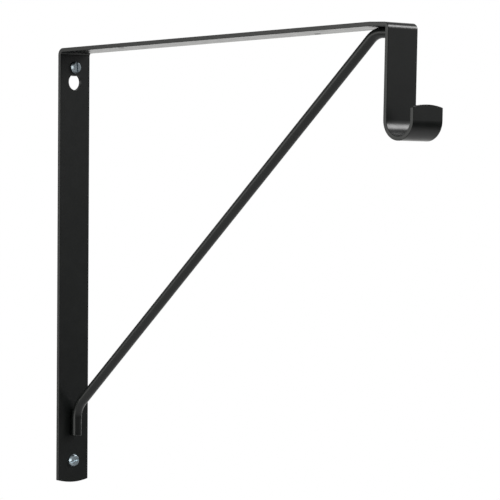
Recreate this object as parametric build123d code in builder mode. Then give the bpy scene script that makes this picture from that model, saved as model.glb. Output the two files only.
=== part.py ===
from build123d import *
import os
from math import radians, tan

# Shelf and rod bracket. The wall plane is x = 0, +X points into the room and +Z points up.
# The origin lies on the wall plane, in the middle of the bar's width, half way between the
# two wall screws.

# Flat bar
bar_width = 25.4
bar_thickness = 2.7
edge_radius = 0.4
crown_rise = 1.7
end_corner_radius = 0.5
trim_allowance = 2.0

# Wall leg
wall_screw_spacing = 264.2
leg_above_screw = 12.4
leg_below_screw = 12.8
wall_bend_radius = 4.5
screw_hole_clearance = 0.25
hang_hole_radius = 5.4
hang_hole_drop = 9.8
screw_land_radius = 5.8

# Arm, which carries the shelf and dips a little before the front bend
arm_reach = 308.1
arm_rise = 1.0
nose_length = 16.0
nose_dip = 3.3
nose_bend_radius = 30.0
front_bend_radius = 4.0
shelf_hole_radius = 2.2
inner_shelf_hole_reach = 59.2
outer_shelf_hole_reach = 227.7
shelf_hole_offset = 7.5

# Drop leg and rod hook
drop_lean = 1.25
drop_length = 57.9
closet_rod_radius = 9.5
closet_rod_clearance = 0.15
lip_height = 7.6

# Brace rod, welded to the wall leg and to the underside of the nose
brace_radius = 3.35
brace_seat_depth = 0.12
brace_bend_radius = 15.0
brace_foot_height = 29.6
brace_foot_length = 18.5
brace_top_setback = 22.4
brace_end_gap = 0.4
brace_end_chamfer = 0.5

# Wall screws
screw_radius = 2.08
screw_neck_radius = 1.6
screw_length = 12.7
screw_point_length = 3.2
screw_head_radius = 4.1
screw_head_height = 2.2
screw_head_rounding = 1.4
screw_slot_width = 1.1
screw_slot_depth = 0.8
upper_slot_angle = 96.0
lower_slot_angle = 14.0

# Heights on the wall, and the corners of the bar's working face: the face that meets the wall,
# the shelf and the closet rod
upper_screw_z = wall_screw_spacing / 2
lower_screw_z = -wall_screw_spacing / 2
leg_foot_z = lower_screw_z - leg_below_screw
wall_corner = Vector(0, upper_screw_z + leg_above_screw)
nose_start = wall_corner + Vector(1, tan(radians(arm_rise))) * (arm_reach - nose_length)
front_corner = nose_start + Vector(1, tan(radians(arm_rise - nose_dip))) * nose_length
drop_end = front_corner + Vector(0, -drop_length).rotate(Axis.Z, -drop_lean)
hook_radius = closet_rod_radius + closet_rod_clearance

# Planes that lie on the working face, with their normal out of the metal
shelf_plane = Plane(
    origin=(wall_corner.X, 0, wall_corner.Y),
    x_dir=Vector(1, 0, 0).rotate(Axis.Y, -arm_rise),
    z_dir=Vector(0, 0, 1).rotate(Axis.Y, -arm_rise),
)
nose_plane = Plane(
    origin=(front_corner.X, 0, front_corner.Y),
    x_dir=Vector(1, 0, 0).rotate(Axis.Y, nose_dip - arm_rise),
    z_dir=Vector(0, 0, 1).rotate(Axis.Y, nose_dip - arm_rise),
)

# The bar: its side profile is the working face, thickened by one bar thickness
with BuildPart() as bracket_bar:
    with BuildSketch(Plane.XZ):
        with BuildLine():
            legs = FilletPolyline(
                (0, leg_foot_z - crown_rise - trim_allowance),
                wall_corner,
                nose_start,
                front_corner,
                drop_end,
                radius=[wall_bend_radius, nose_bend_radius, front_bend_radius],
            )
            hook = JernArc(legs @ 1, legs % 1, radius=hook_radius, arc_size=180)
            lip_end = hook @ 1 + (hook % 1) * lip_height
            Line(hook @ 1, lip_end + (hook % 1) * (crown_rise + trim_allowance))
            offset(amount=bar_thickness, side=Side.RIGHT)
        make_face()
    extrude(amount=bar_width / 2, both=True)

    # The bar's long edges are rolled round, all the way from end to end
    fillet(bracket_bar.faces().filter_by(Axis.Y).edges(), radius=edge_radius)

    # Both ends are then cropped to a shallow crown with rounded corners
    foot_plane = Plane(origin=(0, 0, leg_foot_z), x_dir=(0, 1, 0), z_dir=(-1, 0, 0))
    lip_plane = Plane(
        origin=(lip_end.X, 0, lip_end.Y),
        x_dir=(0, 1, 0),
        z_dir=((hook % 1).Y, 0, -(hook % 1).X),
    )
    crop_depth = crown_rise + trim_allowance
    with BuildSketch(mode=Mode.PRIVATE) as crowned_end:
        with BuildLine():
            crown = ThreePointArc((-bar_width / 2, 0), (0, crown_rise), (bar_width / 2, 0))
            Polyline(
                crown @ 1,
                (bar_width / 2, -crop_depth),
                (-bar_width / 2, -crop_depth),
                crown @ 0,
            )
        make_face()
        fillet(crowned_end.vertices().group_by(Axis.Y)[-1], radius=end_corner_radius)
    for end_plane in (foot_plane, lip_plane):
        with BuildSketch(end_plane):
            Rectangle(2 * bar_width, 2 * crop_depth)
            add(crowned_end.sketch, mode=Mode.SUBTRACT)
        extrude(amount=2 * bar_thickness, both=True, mode=Mode.SUBTRACT)

    # Wall screw holes, and the large hanging hole that stops at the land round the upper screw
    with BuildSketch(Plane.YZ):
        with Locations((0, upper_screw_z), (0, lower_screw_z)):
            Circle(screw_radius + screw_hole_clearance)
    extrude(amount=bar_thickness, mode=Mode.SUBTRACT)
    with BuildSketch(Plane.YZ):
        with Locations((0, upper_screw_z - hang_hole_drop)):
            Circle(hang_hole_radius)
        with Locations((0, upper_screw_z)):
            Circle(screw_land_radius, mode=Mode.SUBTRACT)
    extrude(amount=bar_thickness, mode=Mode.SUBTRACT)

    # Two staggered shelf screw holes in the arm
    with BuildSketch(shelf_plane):
        with Locations(
            (inner_shelf_hole_reach, -shelf_hole_offset),
            (outer_shelf_hole_reach, shelf_hole_offset),
        ):
            Circle(shelf_hole_radius)
    extrude(amount=-bar_thickness, mode=Mode.SUBTRACT)

# The brace: a round rod that lies flat on the wall leg, runs up to the nose and lies along its
# underside. Each seat is a narrow flat where the rod is welded down.
brace_offset = bar_thickness + brace_radius - brace_seat_depth
brace_foot_z = leg_foot_z + brace_foot_height
brace_top_line = nose_plane.offset(-brace_offset)
brace_top = brace_top_line.origin - brace_top_line.x_dir * brace_top_setback
brace_end = brace_top_line.origin - brace_top_line.x_dir * (front_bend_radius + brace_end_gap)
with BuildPart() as brace_rod:
    with BuildLine(Plane.XZ):
        brace_path = FilletPolyline(
            (brace_offset, brace_foot_z),
            (brace_offset, brace_foot_z + brace_foot_length),
            (brace_top.X, brace_top.Z),
            (brace_end.X, brace_end.Z),
            radius=brace_bend_radius,
        )
    with BuildSketch(Plane(origin=brace_path @ 0, z_dir=brace_path % 0)):
        Circle(brace_radius)
    sweep()
    end_faces = brace_rod.faces().filter_by(GeomType.PLANE)
    chamfer(end_faces.edges(), length=brace_end_chamfer)
    add(bracket_bar.part, mode=Mode.SUBTRACT)

# The wall screws: slotted pan heads, a plain neck through the bar, and a pointed shank that
# starts at the wall
with BuildPart() as mounting_screws:
    for screw_z, slot_angle in (
        (upper_screw_z, upper_slot_angle),
        (lower_screw_z, lower_slot_angle),
    ):
        head_seat = Plane(origin=(bar_thickness, 0, screw_z), x_dir=(1, 0, 0), z_dir=(0, -1, 0))
        with BuildSketch(head_seat) as screw_profile:
            with BuildLine():
                Polyline(
                    (screw_head_height, 0),
                    (-screw_length, 0),
                    (screw_point_length - screw_length, screw_radius),
                    (-bar_thickness, screw_radius),
                    (-bar_thickness, screw_neck_radius),
                    (0, screw_neck_radius),
                    (0, screw_head_radius),
                    (screw_head_height, screw_head_radius),
                    close=True,
                )
            make_face()
            top_corner = screw_profile.vertices().group_by(Axis.X)[-1].sort_by(Axis.Y)[-1]
            fillet(top_corner, radius=screw_head_rounding)
        revolve(axis=Axis((0, 0, screw_z), (1, 0, 0)))
        head_top = Plane(
            origin=(bar_thickness + screw_head_height, 0, screw_z),
            x_dir=(0, 1, 0),
            z_dir=(1, 0, 0),
        )
        with BuildSketch(head_top):
            Rectangle(3 * screw_head_radius, screw_slot_width, rotation=slot_angle)
        extrude(amount=-screw_slot_depth, mode=Mode.SUBTRACT)

os.makedirs("parts", exist_ok=True)
bracket_bar.part.label = "bracket_bar"
export_step(bracket_bar.part, "parts/bracket_bar.step")
brace_rod.part.label = "brace_rod"
export_step(brace_rod.part, "parts/brace_rod.step")
mounting_screws.part.label = "mounting_screws"
export_step(mounting_screws.part, "parts/mounting_screws.step")
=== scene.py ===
"""Shelf and rod bracket: the finished surfaces, the studio and the camera."""

import math

import bmesh
import bpy
import numpy as np
from mathutils import Matrix, Vector


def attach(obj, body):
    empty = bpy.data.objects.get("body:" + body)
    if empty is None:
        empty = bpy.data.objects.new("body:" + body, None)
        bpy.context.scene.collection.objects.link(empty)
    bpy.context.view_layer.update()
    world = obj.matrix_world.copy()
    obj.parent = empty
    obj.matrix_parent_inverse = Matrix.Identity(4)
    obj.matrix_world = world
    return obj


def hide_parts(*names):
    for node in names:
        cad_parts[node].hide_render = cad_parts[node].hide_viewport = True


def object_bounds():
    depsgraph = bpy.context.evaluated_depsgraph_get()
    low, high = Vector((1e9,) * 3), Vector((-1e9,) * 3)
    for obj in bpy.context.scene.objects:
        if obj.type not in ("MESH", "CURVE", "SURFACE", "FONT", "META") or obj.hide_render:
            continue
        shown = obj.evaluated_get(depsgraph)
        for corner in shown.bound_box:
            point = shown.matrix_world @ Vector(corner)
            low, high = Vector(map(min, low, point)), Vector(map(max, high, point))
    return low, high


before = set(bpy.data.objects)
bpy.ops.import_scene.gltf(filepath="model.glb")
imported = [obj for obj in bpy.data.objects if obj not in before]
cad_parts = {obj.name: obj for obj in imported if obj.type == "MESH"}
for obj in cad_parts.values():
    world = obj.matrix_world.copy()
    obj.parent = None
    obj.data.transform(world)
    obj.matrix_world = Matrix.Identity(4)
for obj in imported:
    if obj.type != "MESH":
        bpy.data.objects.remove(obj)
cad_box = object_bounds()

MM = 0.001

# Bar. All sizes of the part are in millimetres
BAR_WIDTH = 25.4
BAR_THICKNESS = 2.7
EDGE_RADIUS = 0.4
EDGE_STEPS = 6
FLAT_STEPS = 20
CROWN_RISE = 1.7
END_CORNER_RADIUS = 0.5
COAT_RADIUS = 0.15
COAT_STEPS = 4

# The bar's line, along the face that meets the wall, the shelf and the closet rod
WALL_SCREW_SPACING = 264.2
LEG_ABOVE_SCREW = 12.4
LEG_BELOW_SCREW = 12.8
ARM_REACH = 308.1
ARM_RISE = math.radians(1.0)
NOSE_LENGTH = 16.0
NOSE_DIP = math.radians(3.3)
DROP_LENGTH = 57.9
DROP_LEAN = math.radians(1.25)
WALL_BEND_RADIUS = 4.5
NOSE_BEND_RADIUS = 30.0
FRONT_BEND_RADIUS = 4.0
HOOK_RADIUS = 9.65
LIP_HEIGHT = 7.6
BEND_STEP = math.radians(3.0)

# Holes. A shelf hole has its reach along the arm and its place across it
SCREW_HOLE_RADIUS = 2.33
HANG_HOLE_RADIUS = 5.4
HANG_HOLE_DROP = 9.8
SCREW_LAND_RADIUS = 5.8
SHELF_HOLE_RADIUS = 2.2
SHELF_HOLES = ((59.2, -7.5), (227.7, 7.5))
HOLE_RIM_RADIUS = 0.15
HOLE_STEPS = 56

# How far a cutter stands out of the face that it cuts
CUTTER_CLEARANCE = 1.0

# Brace
BRACE_RADIUS = 3.35
BRACE_SEAT_DEPTH = 0.12
BRACE_BEND_RADIUS = 15.0
BRACE_FOOT_HEIGHT = 29.6
BRACE_FOOT_LENGTH = 18.5
BRACE_TOP_SETBACK = 22.4
BRACE_END_GAP = 0.4
BRACE_END_RADIUS = 0.5
BRACE_STEPS = 56

# Wall screws
SCREW_RADIUS = 2.08
SCREW_NECK_RADIUS = 1.6
SCREW_NECK_START = 0.1
SCREW_LENGTH = 12.7
SCREW_POINT_LENGTH = 3.6
SCREW_POINT_RADIUS = 0.02
SCREW_HEAD_RADIUS = 4.1
SCREW_HEAD_HEIGHT = 2.2
SCREW_HEAD_SHOULDER = 1.5
SCREW_HEAD_EDGE = 0.2
SCREW_SEAT_EDGE = 0.2
SCREW_FLANK_TURN = math.radians(62)
SCREW_STEPS = 72
SHANK_ROWS = 130
FLAT_RINGS = 4
ROUNDING_STEPS = 8

# Thread. Half its ridge is a share of the pitch. Over the screw's point the root narrows by a power
# and the crest fades out by a factor of the share of the point that is left
THREAD_ROOT_RADIUS = 1.5
THREAD_PITCH = 1.7
THREAD_HALF_RIDGE = 0.28
THREAD_ROOT_POWER = 0.8
THREAD_CREST_FACTOR = 1.6

# Screw slots. The cutter reaches past the head on both sides, and the angles are above +Y
SLOT_WIDTH = 1.1
SLOT_DEPTH = 0.8
SLOT_REACH = 1.5 * SCREW_HEAD_RADIUS
SLOT_EDGE = 0.14
SLOT_EDGE_SEGMENTS = 2
SLOT_EDGE_TURN = math.radians(50)
UPPER_SLOT_ANGLE = math.radians(96)
LOWER_SLOT_ANGLE = math.radians(14)

UPPER_SCREW_Z = WALL_SCREW_SPACING / 2
LOWER_SCREW_Z = -WALL_SCREW_SPACING / 2
FOOT_Z = LOWER_SCREW_Z - LEG_BELOW_SCREW
CORNER_Z = UPPER_SCREW_Z + LEG_ABOVE_SCREW


# Bent lines in the upright plane y = 0

def heading(angle):
    """The unit vector (x, z) at that angle above +X."""
    return np.array([math.cos(angle), math.sin(angle)])


def right_of(angle):
    """The unit vector to the right of a heading."""
    return np.array([math.sin(angle), -math.cos(angle)])


def bent_line(start, angle, moves):
    """Stations (point, angle) along straight moves (length,) and bends (radius, turn).

    A positive turn is to the left."""
    point = np.array(start, float)
    stations = [(point, angle)]
    for move in moves:
        if len(move) == 1:
            point = point + move[0] * heading(angle)
            stations.append((point, angle))
            continue
        radius, turn = move
        side = -1 if turn > 0 else 1
        centre = point + side * radius * right_of(angle)
        steps = max(2, math.ceil(abs(turn) / BEND_STEP))
        for step in range(1, steps + 1):
            at = angle + turn * step / steps
            here = centre - side * radius * right_of(at)
            stations.append((here, at))
        point, angle = stations[-1][0], angle + turn
    return stations


def cut_back(radius, turn):
    """How far before a corner a bend of that radius starts."""
    return radius * math.tan(abs(turn) / 2)


def bar_stations():
    """The bar's working face from the foot of the wall leg to the lip of the hook."""
    up = math.pi / 2
    arm, nose = ARM_RISE, ARM_RISE - NOSE_DIP
    drop = -math.pi / 2 - DROP_LEAN
    wall_back = cut_back(WALL_BEND_RADIUS, up - arm)
    nose_back = cut_back(NOSE_BEND_RADIUS, arm - nose)
    front_back = cut_back(FRONT_BEND_RADIUS, nose - drop)
    arm_length = (ARM_REACH - NOSE_LENGTH) / math.cos(arm)
    nose_run = NOSE_LENGTH / math.cos(nose)
    return bent_line((0, FOOT_Z), up, [
        (CORNER_Z - FOOT_Z - wall_back,),
        (WALL_BEND_RADIUS, arm - up),
        (arm_length - wall_back - nose_back,),
        (NOSE_BEND_RADIUS, nose - arm),
        (nose_run - nose_back - front_back,),
        (FRONT_BEND_RADIUS, drop - nose),
        (DROP_LENGTH - front_back,),
        (HOOK_RADIUS, math.pi),
        (LIP_HEIGHT,),
    ])


# Meshes

# In metres, as the meshes are
WELD_DISTANCE = 0.000001

# How much large faces steer the shading, and the number of corners from which a face is split
FLAT_FACE_WEIGHT = 90
SPLIT_FROM_CORNERS = 5


def new_piece(name, vertices, faces):
    """A mesh object from points in millimetres."""
    mesh = bpy.data.meshes.new(name)
    mesh.from_pydata([tuple(MM * c for c in v) for v in vertices], [], faces)
    made = bmesh.new()
    made.from_mesh(mesh)
    bmesh.ops.recalc_face_normals(made, faces=made.faces)
    made.to_mesh(mesh)
    made.free()
    piece = bpy.data.objects.new(name, mesh)
    bpy.context.scene.collection.objects.link(piece)
    return piece


def join_rings(rings):
    """Quads between rings of as many points each, as indices."""
    count = len(rings[0])
    faces = []
    for r in range(len(rings) - 1):
        for i in range(count):
            j = (i + 1) % count
            a, b = r * count, (r + 1) * count
            faces.append((a + i, a + j, b + j, b + i))
    return faces


def bake_modifiers(piece):
    """Applies all of a piece's modifiers to its mesh."""
    bpy.context.view_layer.update()
    graph = bpy.context.evaluated_depsgraph_get()
    mesh = bpy.data.meshes.new_from_object(piece.evaluated_get(graph))
    piece.modifiers.clear()
    piece.data = mesh


def cut(piece, cutters):
    """Cuts the cutters out of a piece and removes them."""
    for cutter in cutters:
        cutting = piece.modifiers.new("cut", "BOOLEAN")
        cutting.operation = "DIFFERENCE"
        cutting.solver = "EXACT"
        cutting.object = cutter
    bake_modifiers(piece)
    for cutter in cutters:
        bpy.data.objects.remove(cutter)


def weld(piece):
    """Joins points that lie within a micrometre of each other, and drops what that flattens."""
    made = bmesh.new()
    made.from_mesh(piece.data)
    bmesh.ops.remove_doubles(made, verts=made.verts, dist=WELD_DISTANCE)
    bmesh.ops.dissolve_degenerate(made, edges=made.edges, dist=WELD_DISTANCE)
    made.to_mesh(piece.data)
    made.free()


def smooth(piece):
    """Shades a piece smoothly, keeps its large faces flat and splits many-sided ones."""
    weld(piece)
    piece.data.shade_smooth()
    weighted = piece.modifiers.new("flat_faces", "WEIGHTED_NORMAL")
    weighted.weight = FLAT_FACE_WEIGHT
    split = piece.modifiers.new("split_faces", "TRIANGULATE")
    split.ngon_method = "BEAUTY"
    split.min_vertices = SPLIT_FROM_CORNERS
    split.keep_custom_normals = True
    bake_modifiers(piece)


# The bar

def half_section():
    """Half of the bar's rounded section: (y, depth, normal y, normal depth) across the working face."""
    flat = BAR_WIDTH / 2 - EDGE_RADIUS
    arc = [math.pi / 2 * i / EDGE_STEPS for i in range(EDGE_STEPS + 1)]
    left = [
        (-flat - EDGE_RADIUS * math.cos(a), EDGE_RADIUS * (1 - math.sin(a)), -math.cos(a), -math.sin(a))
        for a in arc
    ]
    middle = [(flat * (2 * i / FLAT_STEPS - 1), 0, 0, -1) for i in range(1, FLAT_STEPS)]
    right = [(-y, d, -ny, nd) for y, d, ny, nd in reversed(left)]
    return left + middle + right


def whole_section():
    """The closed section: across the working face, and back across the far face."""
    front = half_section()
    back = [(y, BAR_THICKNESS - d, ny, -nd) for y, d, ny, nd in reversed(front)]
    return front + back


def crown(y):
    """How far the cropped end stands out at that place across the width."""
    half = BAR_WIDTH / 2
    big = (half**2 + CROWN_RISE**2) / (2 * CROWN_RISE)
    corner_y = half - END_CORNER_RADIUS
    corner_s = CROWN_RISE - big + math.sqrt((big - END_CORNER_RADIUS) ** 2 - corner_y**2)
    if abs(y) <= corner_y * big / (big - END_CORNER_RADIUS):
        return math.sqrt(big**2 - y**2) - (big - CROWN_RISE)
    return corner_s + math.sqrt(max(0, END_CORNER_RADIUS**2 - (abs(y) - corner_y) ** 2))


def bar_ring(station, section, inset=0.0, along=None):
    """One section of the bar in space. inset shrinks it, along moves each point by a function of y."""
    point, angle = station
    forward, right = heading(angle), right_of(angle)
    ring = []
    for y, depth, ny, nd in section:
        x, z = point + (depth - inset * nd) * right
        if along:
            x, z = (x, z) + along(y) * forward
        ring.append((x, y - inset * ny, z))
    return ring


def bar_end(station, section, sign):
    """The rings that close a cropped end, from the full section to the inset one on its face."""
    rings = []
    for step in range(COAT_STEPS + 1):
        a = math.pi / 2 * step / COAT_STEPS
        inset = COAT_RADIUS * (1 - math.cos(a))
        back = COAT_RADIUS * (1 - math.sin(a))
        rings.append(bar_ring(station, section, inset, lambda y: sign * (crown(y) - back)))
    return rings


def hole_cutter(name, outline, origin, across, up, into):
    """A punch with a flare at both faces of the bar, which leaves rounded rims.

    outline lists (u, v, normal u, normal v), the normal pointing out of the hole."""
    profile = [(-CUTTER_CLEARANCE, HOLE_RIM_RADIUS)]
    for i in range(EDGE_STEPS + 1):
        a = math.pi / 2 * i / EDGE_STEPS
        profile.append((HOLE_RIM_RADIUS * (1 - math.cos(a)), HOLE_RIM_RADIUS * (1 - math.sin(a))))
    profile += [(BAR_THICKNESS - d, grow) for d, grow in reversed(profile)]
    rings = []
    for depth, grow in profile:
        rings.append([
            tuple(origin + (u + grow * nu) * across + (v + grow * nv) * up + depth * into)
            for u, v, nu, nv in outline
        ])
    count = len(outline)
    faces = join_rings(rings)
    faces.append(tuple(range(count)))
    faces.append(tuple(range(count * (len(rings) - 1), count * len(rings))))
    return new_piece(name, [p for ring in rings for p in ring], faces)


def round_outline(radius):
    """A round hole's outline."""
    turns = [2 * math.pi * i / HOLE_STEPS for i in range(HOLE_STEPS)]
    return [(radius * math.cos(a), radius * math.sin(a), math.cos(a), math.sin(a)) for a in turns]


def hang_outline():
    """The hanging hole's outline: a circle, its top cut off by the land round the upper screw."""
    gap, hole, land = HANG_HOLE_DROP, HANG_HOLE_RADIUS, SCREW_LAND_RADIUS
    hole_half = math.acos((hole**2 + gap**2 - land**2) / (2 * hole * gap))
    land_half = math.acos((land**2 + gap**2 - hole**2) / (2 * land * gap))
    outline = []
    for i in range(HOLE_STEPS + 1):
        a = math.pi / 2 + hole_half + (2 * math.pi - 2 * hole_half) * i / HOLE_STEPS
        outline.append((hole * math.cos(a), hole * math.sin(a), math.cos(a), math.sin(a)))
    land_steps = HOLE_STEPS // 4
    for i in range(1, land_steps):
        a = -math.pi / 2 + land_half * (1 - 2 * i / land_steps)
        outline.append((land * math.cos(a), gap + land * math.sin(a), -math.cos(a), -math.sin(a)))
    return outline


def make_bar():
    """The bent bar with its cropped ends and its punched holes."""
    section = whole_section()
    stations = bar_stations()
    foot = list(reversed(bar_end(stations[0], section, -1)))
    lip = bar_end(stations[-1], section, 1)
    middle = [bar_ring(station, section) for station in stations[1:-1]]
    rings = foot + middle + lip
    faces = join_rings(rings)
    count = len(section)
    for first in (0, count * (len(rings) - 1)):
        for i in range(count // 2 - 1):
            faces.append((first + i, first + i + 1, first + count - 2 - i, first + count - 1 - i))
    bar = new_piece("bracket_bar_coated", [p for ring in rings for p in ring], faces)

    across, up, out = np.array([0, 1, 0]), np.array([0, 0, 1]), np.array([1, 0, 0])
    cutters = []
    for z in (UPPER_SCREW_Z, LOWER_SCREW_Z):
        screw_hole = round_outline(SCREW_HOLE_RADIUS)
        cutters.append(hole_cutter("screw_punch", screw_hole, np.array([0, 0, z]), across, up, out))
    hang_centre = np.array([0, 0, UPPER_SCREW_Z - HANG_HOLE_DROP])
    cutters.append(hole_cutter("hang_punch", hang_outline(), hang_centre, across, up, out))
    arm_x, arm_z = heading(ARM_RISE)
    along_arm = np.array([arm_x, 0, arm_z])
    down = np.array([arm_z, 0, -arm_x])
    for reach, side in SHELF_HOLES:
        centre = np.array([0, side, CORNER_Z]) + reach * along_arm
        shelf_hole = round_outline(SHELF_HOLE_RADIUS)
        cutters.append(hole_cutter("shelf_punch", shelf_hole, centre, along_arm, across, down))
    cut(bar, cutters)
    smooth(bar)
    return bar


# The brace

def make_brace():
    """The round brace, from its foot on the wall leg to its end under the nose."""
    offset = BAR_THICKNESS + BRACE_RADIUS - BRACE_SEAT_DEPTH
    nose_angle = ARM_RISE - NOSE_DIP
    along_nose = heading(nose_angle)
    arm_length = (ARM_REACH - NOSE_LENGTH) / math.cos(ARM_RISE)
    nose_start = np.array([0, CORNER_Z]) + arm_length * heading(ARM_RISE)
    front_corner = nose_start + NOSE_LENGTH / math.cos(nose_angle) * along_nose
    top_line = front_corner + offset * right_of(nose_angle)
    top = top_line - BRACE_TOP_SETBACK * along_nose
    foot_z = FOOT_Z + BRACE_FOOT_HEIGHT
    knee = np.array([offset, foot_z + BRACE_FOOT_LENGTH])
    run, rise = top - knee
    slope = math.atan2(rise, run)
    low_back = cut_back(BRACE_BEND_RADIUS, math.pi / 2 - slope)
    top_back = cut_back(BRACE_BEND_RADIUS, slope - nose_angle)
    stations = bent_line((offset, foot_z), math.pi / 2, [
        (BRACE_FOOT_LENGTH - low_back,),
        (BRACE_BEND_RADIUS, slope - math.pi / 2),
        (np.linalg.norm(top - knee) - low_back - top_back,),
        (BRACE_BEND_RADIUS, nose_angle - slope),
        (BRACE_TOP_SETBACK - top_back - FRONT_BEND_RADIUS - BRACE_END_GAP,),
    ])

    def ring(station, radius=BRACE_RADIUS, shift=0.0):
        """One round section in space. shift moves it along the brace."""
        point, angle = station
        point = point + shift * heading(angle)
        side = right_of(angle)
        turns = [2 * math.pi * i / BRACE_STEPS for i in range(BRACE_STEPS)]
        return [
            (
                point[0] + radius * math.cos(a) * side[0],
                radius * math.sin(a),
                point[1] + radius * math.cos(a) * side[1],
            )
            for a in turns
        ]

    def end(station, sign):
        """The rings that round off an end."""
        rings = []
        for step in range(COAT_STEPS + 1):
            a = math.pi / 2 * step / COAT_STEPS
            radius = BRACE_RADIUS - BRACE_END_RADIUS * (1 - math.cos(a))
            rings.append(ring(station, radius, -sign * BRACE_END_RADIUS * (1 - math.sin(a))))
        return rings

    rings = list(reversed(end(stations[0], -1)))
    rings += [ring(station) for station in stations[1:-1]]
    rings += end(stations[-1], 1)
    faces = join_rings(rings)
    faces.append(tuple(range(BRACE_STEPS)))
    faces.append(tuple(range(BRACE_STEPS * (len(rings) - 1), BRACE_STEPS * len(rings))))
    brace = new_piece("brace_rod_coated", [p for r in rings for p in r], faces)
    smooth(brace)
    return brace


# The wall screws

def thread_radius(x, turn):
    """The shank's radius at x, negative inside the wall, and at a turn about its axis from 0 to 1."""
    depth_in = -x
    root = THREAD_ROOT_RADIUS
    crest = SCREW_RADIUS
    to_tip = SCREW_LENGTH - BAR_THICKNESS - depth_in
    taper = min(1.0, max(0.0, to_tip / SCREW_POINT_LENGTH))
    phase = (depth_in / THREAD_PITCH - turn) % 1.0
    ridge = max(0.0, 1 - abs(phase - 0.5) / THREAD_HALF_RIDGE)
    run_in = min(1.0, depth_in / THREAD_PITCH)
    run_out = min(1.0, THREAD_CREST_FACTOR * taper)
    return root * taper**THREAD_ROOT_POWER + (crest - root) * ridge * run_in * run_out


def make_screw(name, z, slot_angle):
    """A slotted pan-head wood screw with a rolled thread."""
    head_face = BAR_THICKNESS
    head_top = head_face + SCREW_HEAD_HEIGHT
    shoulder_radius = SCREW_HEAD_RADIUS - SCREW_HEAD_SHOULDER * (1 - math.sin(SCREW_FLANK_TURN))
    shoulder_x = head_face + SCREW_SEAT_EDGE + SCREW_HEAD_SHOULDER * math.cos(SCREW_FLANK_TURN)
    edge_x = head_top - SCREW_HEAD_EDGE * (1 - math.cos(SCREW_FLANK_TURN))
    edge_radius = shoulder_radius - (edge_x - shoulder_x) / math.tan(SCREW_FLANK_TURN)
    flat_radius = edge_radius - SCREW_HEAD_EDGE * math.sin(SCREW_FLANK_TURN)
    profile = [(flat_radius * i / FLAT_RINGS, head_top) for i in range(1, FLAT_RINGS)]
    for i in range(ROUNDING_STEPS + 1):
        a = SCREW_FLANK_TURN * i / ROUNDING_STEPS
        profile.append((
            flat_radius + SCREW_HEAD_EDGE * math.sin(a),
            head_top - SCREW_HEAD_EDGE * (1 - math.cos(a)),
        ))
    for i in range(ROUNDING_STEPS):
        a = SCREW_FLANK_TURN + (math.pi / 2 - SCREW_FLANK_TURN) * i / ROUNDING_STEPS
        profile.append((
            SCREW_HEAD_RADIUS - SCREW_HEAD_SHOULDER * (1 - math.sin(a)),
            head_face + SCREW_SEAT_EDGE + SCREW_HEAD_SHOULDER * math.cos(a),
        ))
    profile.append((SCREW_HEAD_RADIUS, head_face + SCREW_SEAT_EDGE))
    profile.append((SCREW_HEAD_RADIUS - SCREW_SEAT_EDGE / 2, head_face))
    profile.append((SCREW_NECK_RADIUS + SCREW_SEAT_EDGE, head_face))
    profile.append((SCREW_NECK_RADIUS, head_face - SCREW_SEAT_EDGE))
    profile.append((SCREW_NECK_RADIUS, SCREW_NECK_START))
    rings = []
    turns = [i / SCREW_STEPS for i in range(SCREW_STEPS)]
    for r, x in profile:
        rings.append([
            (x, r * math.cos(2 * math.pi * t), z + r * math.sin(2 * math.pi * t)) for t in turns
        ])
    shank = SCREW_LENGTH - BAR_THICKNESS
    for row in range(SHANK_ROWS):
        x = -shank * row / SHANK_ROWS
        ring = []
        for t in turns:
            r = max(SCREW_POINT_RADIUS, thread_radius(x, t))
            ring.append((x, r * math.cos(2 * math.pi * t), z + r * math.sin(2 * math.pi * t)))
        rings.append(ring)
    vertices = [p for ring in rings for p in ring]
    faces = join_rings(rings)
    top = len(vertices)
    vertices.append((head_top, 0, z))
    tip = len(vertices)
    vertices.append((-shank, 0, z))
    last = SCREW_STEPS * (len(rings) - 1)
    for i in range(SCREW_STEPS):
        j = (i + 1) % SCREW_STEPS
        faces.append((top, i, j))
        faces.append((tip, last + j, last + i))
    screw = new_piece(name, vertices, faces)

    long, wide = SLOT_REACH, SLOT_WIDTH / 2
    floor_x = head_top - SLOT_DEPTH
    top_x = head_top + CUTTER_CLEARANCE
    along = np.array([0, math.cos(slot_angle), math.sin(slot_angle)])
    side = np.array([0, -math.sin(slot_angle), math.cos(slot_angle)])
    centre = np.array([0, 0, z])
    corners = []
    for x in (floor_x, top_x):
        for u, v in ((-long, -wide), (long, -wide), (long, wide), (-long, wide)):
            corners.append(tuple(centre + u * along + v * side + np.array([x, 0, 0])))
    sides = [(0, 1, 2, 3), (4, 5, 6, 7), (0, 1, 5, 4), (1, 2, 6, 5), (2, 3, 7, 6), (3, 0, 4, 7)]
    cut(screw, [new_piece("slot_cutter", corners, sides)])
    rounding = screw.modifiers.new("slot_edges", "BEVEL")
    rounding.width = SLOT_EDGE * MM
    rounding.segments = SLOT_EDGE_SEGMENTS
    rounding.limit_method = "ANGLE"
    rounding.angle_limit = SLOT_EDGE_TURN
    bake_modifiers(screw)
    smooth(screw)
    return screw


# Materials

# The part of a noise's range that colours and roughness spread over
NOISE_LOW = 0.3
NOISE_HIGH = 0.7

# Noises as (cells a metre, detail, and roughness where it isn't the usual one)
COAT_CLOUDS = (55, 3)
COAT_SHEEN = (160, 4)
COAT_PEEL = (900, 2, 0.4)
ZINC_CLOUDS = (900, 4)
ZINC_SHEEN = (2500, 4)
ZINC_GRAIN = (5000, 3)

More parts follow.
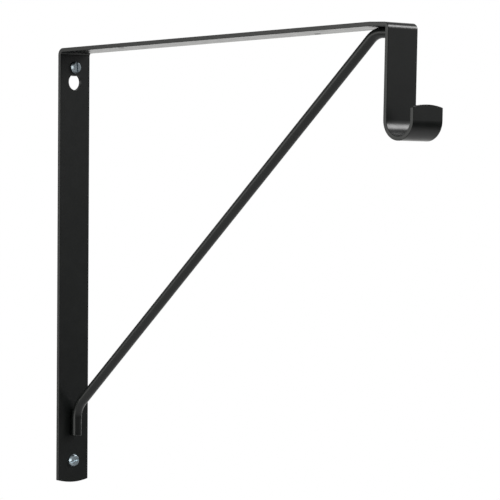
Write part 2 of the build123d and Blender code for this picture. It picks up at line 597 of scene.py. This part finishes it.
# Roughness from least to most, bumps with their height in metres, and the coat's refraction
COAT_ROUGHNESS = (0.28, 0.33)
ZINC_ROUGHNESS = (0.22, 0.38)
COAT_BUMP_STRENGTH = 0.06
COAT_BUMP_HEIGHT = 0.00008
ZINC_BUMP_STRENGTH = 0.2
ZINC_BUMP_HEIGHT = 0.00003
COAT_IOR = 1.5

# Darker and brighter tone of each surface. The upper screw's darker zinc tones are painted shade on the
# same plating
COAT_TONES = ((0.0070, 0.0084, 0.0078, 1), (0.0088, 0.0104, 0.0096, 1))
UPPER_ZINC_PAINTED_SHADE = ((0.38, 0.44, 0.48, 1), (0.48, 0.56, 0.60, 1))
LOWER_ZINC = ((0.55, 0.66, 0.72, 1), (0.70, 0.81, 0.87, 1))


def new_material(name):
    """A new material with its node tree and its main shader."""
    material = bpy.data.materials.new(name)
    material.use_nodes = True
    tree = material.node_tree
    shader = tree.nodes["Principled BSDF"]
    return material, tree, shader


def object_noise(tree, scale, detail, roughness=0.5):
    """Noise in the object's own space, with scale in cells a metre."""
    where = tree.nodes.new("ShaderNodeTexCoord")
    noise = tree.nodes.new("ShaderNodeTexNoise")
    noise.inputs["Scale"].default_value = scale
    noise.inputs["Detail"].default_value = detail
    noise.inputs["Roughness"].default_value = roughness
    tree.links.new(where.outputs["Object"], noise.inputs["Vector"])
    return noise


def spread(tree, source, low, high):
    """Maps a noise to the range from low to high."""
    mapped = tree.nodes.new("ShaderNodeMapRange")
    mapped.inputs["From Min"].default_value = NOISE_LOW
    mapped.inputs["From Max"].default_value = NOISE_HIGH
    mapped.inputs["To Min"].default_value = low
    mapped.inputs["To Max"].default_value = high
    tree.links.new(source.outputs["Fac"], mapped.inputs["Value"])
    return mapped


def black_coat():
    """Smooth semi-gloss black coat with a faint orange peel."""
    material, tree, shader = new_material("black_coat")
    shader.inputs["IOR"].default_value = COAT_IOR

    tone = tree.nodes.new("ShaderNodeValToRGB")
    tone.color_ramp.elements[0].position = NOISE_LOW
    tone.color_ramp.elements[0].color = COAT_TONES[0]
    tone.color_ramp.elements[1].position = NOISE_HIGH
    tone.color_ramp.elements[1].color = COAT_TONES[1]
    cloud = object_noise(tree, *COAT_CLOUDS)
    tree.links.new(cloud.outputs["Fac"], tone.inputs["Fac"])
    tree.links.new(tone.outputs["Color"], shader.inputs["Base Color"])

    gloss = spread(tree, object_noise(tree, *COAT_SHEEN), *COAT_ROUGHNESS)
    tree.links.new(gloss.outputs["Result"], shader.inputs["Roughness"])

    peel = object_noise(tree, *COAT_PEEL)
    bump = tree.nodes.new("ShaderNodeBump")
    bump.inputs["Strength"].default_value = COAT_BUMP_STRENGTH
    bump.inputs["Distance"].default_value = COAT_BUMP_HEIGHT
    tree.links.new(peel.outputs["Fac"], bump.inputs["Height"])
    tree.links.new(bump.outputs["Normal"], shader.inputs["Normal"])
    return material


def zinc_plating(name, darker, brighter):
    """Zinc plating with a fine grain, between two tones."""
    material, tree, shader = new_material(name)
    shader.inputs["Metallic"].default_value = 1.0

    tone = tree.nodes.new("ShaderNodeValToRGB")
    tone.color_ramp.elements[0].position = NOISE_LOW
    tone.color_ramp.elements[0].color = darker
    tone.color_ramp.elements[1].position = NOISE_HIGH
    tone.color_ramp.elements[1].color = brighter
    cloud = object_noise(tree, *ZINC_CLOUDS)
    tree.links.new(cloud.outputs["Fac"], tone.inputs["Fac"])
    tree.links.new(tone.outputs["Color"], shader.inputs["Base Color"])

    gloss = spread(tree, object_noise(tree, *ZINC_SHEEN), *ZINC_ROUGHNESS)
    tree.links.new(gloss.outputs["Result"], shader.inputs["Roughness"])

    grain = object_noise(tree, *ZINC_GRAIN)
    bump = tree.nodes.new("ShaderNodeBump")
    bump.inputs["Strength"].default_value = ZINC_BUMP_STRENGTH
    bump.inputs["Distance"].default_value = ZINC_BUMP_HEIGHT
    tree.links.new(grain.outputs["Fac"], bump.inputs["Height"])
    tree.links.new(bump.outputs["Normal"], shader.inputs["Normal"])
    return material


def studio_floor():
    """Plain pale floor that fades out at its rim, into the white round the object."""
    material, tree, shader = new_material("studio_floor")
    shader.inputs["Base Color"].default_value = FLOOR_COLOUR
    shader.inputs["Roughness"].default_value = FLOOR_ROUGHNESS
    shader.inputs["Specular IOR Level"].default_value = FLOOR_SPECULAR
    where = tree.nodes.new("ShaderNodeTexCoord")
    reach = tree.nodes.new("ShaderNodeVectorMath")
    reach.operation = "LENGTH"
    tree.links.new(where.outputs["Object"], reach.inputs[0])
    fade = tree.nodes.new("ShaderNodeMapRange")
    fade.interpolation_type = "SMOOTHSTEP"
    fade.inputs["From Min"].default_value = FLOOR_SOLID_RADIUS
    fade.inputs["From Max"].default_value = FLOOR_RADIUS
    fade.inputs["To Min"].default_value = 1.0
    fade.inputs["To Max"].default_value = 0.0
    tree.links.new(reach.outputs["Value"], fade.inputs["Value"])
    tree.links.new(fade.outputs["Result"], shader.inputs["Alpha"])
    return material


def dress(piece, material, node):
    """Gives a piece its material, its body and the node that it stands for."""
    piece.data.materials.clear()
    piece.data.materials.append(material)
    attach(piece, "root")
    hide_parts(node)


# Studio

# Floor, in metres. It lies that far below the part, and fades out between the two radii
FLOOR_DROP = 0.40
FLOOR_SOLID_RADIUS = 0.7
FLOOR_RADIUS = 1.7
FLOOR_STEPS = 96
FLOOR_COLOUR = (0.92, 0.92, 0.92, 1)
FLOOR_ROUGHNESS = 0.9
FLOOR_SPECULAR = 0.2

# One soft light stands high on the right
SOFTBOX_FROM = Vector((0.49, 0.68, 0.54))
SOFTBOX_ANGLE = math.radians(24)
SOFTBOX_STRENGTH = 1.3

# What the part mirrors: a sky over a dark lower half, and sides that are laid over it in this order.
# They are a glow under the softbox on the right and a brighter patch in it, a bright panel on the
# left, a dimmer patch below that panel, and a wide backdrop beyond the part
SKY_RADIANCE = (0.30, 0.30, 0.30, 1)
LOW_RADIANCE = (0.02, 0.02, 0.02, 1)
SKYLINE = (-0.20, 0.12)
BRIGHT_SIDES = (
    # towards, cosine where it starts, cosine where it is full, radiance
    (Vector((0.73, 0.68, 0.30)), 0.93, 0.99, (0.31, 0.31, 0.31, 1)),
    (Vector((0.556, 0.795, 0.242)), 0.958, 0.988, (0.76, 0.76, 0.76, 1)),
    (Vector((-0.30, -0.95, 0.0)), 0.80, 0.89, (2.05, 2.05, 2.00, 1)),
    (Vector((-0.40, -0.75, -0.53)), 0.86, 0.97, (0.35, 0.35, 0.35, 1)),
    (Vector((-0.65, 0.76, -0.05)), 0.78, 0.98, (1.25, 1.25, 1.23, 1)),
)


def make_floor():
    """A round floor below the part, which belongs to the stage."""
    level = cad_box[0].z - FLOOR_DROP
    middle = (cad_box[0] + cad_box[1]) / 2
    mesh = bpy.data.meshes.new("studio_floor")
    rim = [2 * math.pi * i / FLOOR_STEPS for i in range(FLOOR_STEPS)]
    mesh.from_pydata(
        [(FLOOR_RADIUS * math.cos(a), FLOOR_RADIUS * math.sin(a), 0) for a in rim],
        [],
        [tuple(range(FLOOR_STEPS))],
    )
    floor = bpy.data.objects.new("studio_floor", mesh)
    floor.location = (middle.x, middle.y, level)
    bpy.context.scene.collection.objects.link(floor)
    mesh.materials.append(studio_floor())


def make_lights():
    """The soft light, which comes from the right."""
    sun = bpy.data.lights.new("softbox", "SUN")
    sun.energy = SOFTBOX_STRENGTH
    sun.angle = SOFTBOX_ANGLE
    lamp = bpy.data.objects.new("softbox", sun)
    lamp.rotation_mode = "QUATERNION"
    lamp.rotation_quaternion = SOFTBOX_FROM.to_track_quat("Z", "Y")
    bpy.context.scene.collection.objects.link(lamp)


def make_world():
    """Plain white to the camera. The part mirrors a studio with brighter and darker sides."""
    world = bpy.data.worlds.new("studio")
    bpy.context.scene.world = world
    world.use_nodes = True
    tree = world.node_tree
    nodes, links = tree.nodes, tree.links
    nodes.clear()
    where = nodes.new("ShaderNodeTexCoord")

    def facing(towards, start, full):
        """From 0 to 1 as the direction turns towards that side."""
        dot = nodes.new("ShaderNodeVectorMath")
        dot.operation = "DOT_PRODUCT"
        dot.inputs[1].default_value = towards.normalized()
        links.new(where.outputs["Generated"], dot.inputs[0])
        ramp = nodes.new("ShaderNodeMapRange")
        ramp.interpolation_type = "SMOOTHSTEP"
        ramp.inputs["From Min"].default_value = start
        ramp.inputs["From Max"].default_value = full
        links.new(dot.outputs["Value"], ramp.inputs["Value"])
        return ramp.outputs["Result"]

    def blend(factor, low, high):
        """From low, a colour or a socket, to the colour high as the factor rises."""
        mix = nodes.new("ShaderNodeMix")
        mix.data_type = "RGBA"
        links.new(factor, mix.inputs["Factor"])
        if isinstance(low, tuple):
            mix.inputs["A"].default_value = low
        else:
            links.new(low, mix.inputs["A"])
        mix.inputs["B"].default_value = high
        return mix.outputs["Result"]

    colour = blend(facing(Vector((0, 0, 1)), *SKYLINE), LOW_RADIANCE, SKY_RADIANCE)
    for towards, start, full, radiance in BRIGHT_SIDES:
        colour = blend(facing(towards, start, full), colour, radiance)
    seen = nodes.new("ShaderNodeBackground")
    seen.inputs["Color"].default_value = (1, 1, 1, 1)
    mirrored = nodes.new("ShaderNodeBackground")
    links.new(colour, mirrored.inputs["Color"])
    path = nodes.new("ShaderNodeLightPath")
    either = nodes.new("ShaderNodeMixShader")
    links.new(path.outputs["Is Camera Ray"], either.inputs[0])
    links.new(mirrored.outputs["Background"], either.inputs[1])
    links.new(seen.outputs["Background"], either.inputs[2])
    out = nodes.new("ShaderNodeOutputWorld")
    links.new(either.outputs["Shader"], out.inputs["Surface"])


# Camera, as the photograph's: 500 pixels wide, centred, with a slight roll
CAMERA_PLACE = Vector((1.47871, -1.21485, 0.03856))
CAMERA_AZIMUTH = math.radians(47.0)
CAMERA_PITCH = math.radians(0.853)
CAMERA_ROLL = math.radians(0.341)
FOCAL_PIXELS = 2837.15
PICTURE_PIXELS = 500
SENSOR_WIDTH = 36.0
CAMERA_NEAR = 0.05
CAMERA_FAR = 200


def make_camera():
    """The photograph's camera, turned by azimuth, pitch and roll."""
    data = bpy.data.cameras.new("camera")
    data.sensor_width = SENSOR_WIDTH
    data.lens = FOCAL_PIXELS * SENSOR_WIDTH / PICTURE_PIXELS
    data.clip_start = CAMERA_NEAR
    data.clip_end = CAMERA_FAR
    camera = bpy.data.objects.new("camera", data)
    right = Vector((math.cos(CAMERA_AZIMUTH), math.sin(CAMERA_AZIMUTH), 0))
    level = Vector((-math.sin(CAMERA_AZIMUTH), math.cos(CAMERA_AZIMUTH), 0))
    forward = level * math.cos(CAMERA_PITCH) - Vector((0, 0, math.sin(CAMERA_PITCH)))
    up = right.cross(forward)
    tilted_right = right * math.cos(CAMERA_ROLL) + up * math.sin(CAMERA_ROLL)
    tilted_up = tilted_right.cross(forward)
    turn = Matrix((tilted_right, tilted_up, -forward)).transposed()
    camera.matrix_world = Matrix.Translation(CAMERA_PLACE) @ turn.to_4x4()
    bpy.context.scene.collection.objects.link(camera)
    bpy.context.scene.camera = camera


coat = black_coat()
# The upper screw's zinc is a darker copy of the lower's, with painted shade in its colour
upper_zinc_painted_shade = zinc_plating("upper_zinc_painted_shade", *UPPER_ZINC_PAINTED_SHADE)
lower_zinc = zinc_plating("lower_zinc", *LOWER_ZINC)
dress(make_bar(), coat, "bracket_bar")
dress(make_brace(), coat, "brace_rod")
upper_screw = make_screw("upper_wall_screw", UPPER_SCREW_Z, UPPER_SLOT_ANGLE)
lower_screw = make_screw("lower_wall_screw", LOWER_SCREW_Z, LOWER_SLOT_ANGLE)
dress(upper_screw, upper_zinc_painted_shade, "mounting_screws")
dress(lower_screw, lower_zinc, "mounting_screws")
make_floor()
make_lights()
make_world()
make_camera()
bpy.context.scene.view_settings.view_transform = "Standard"
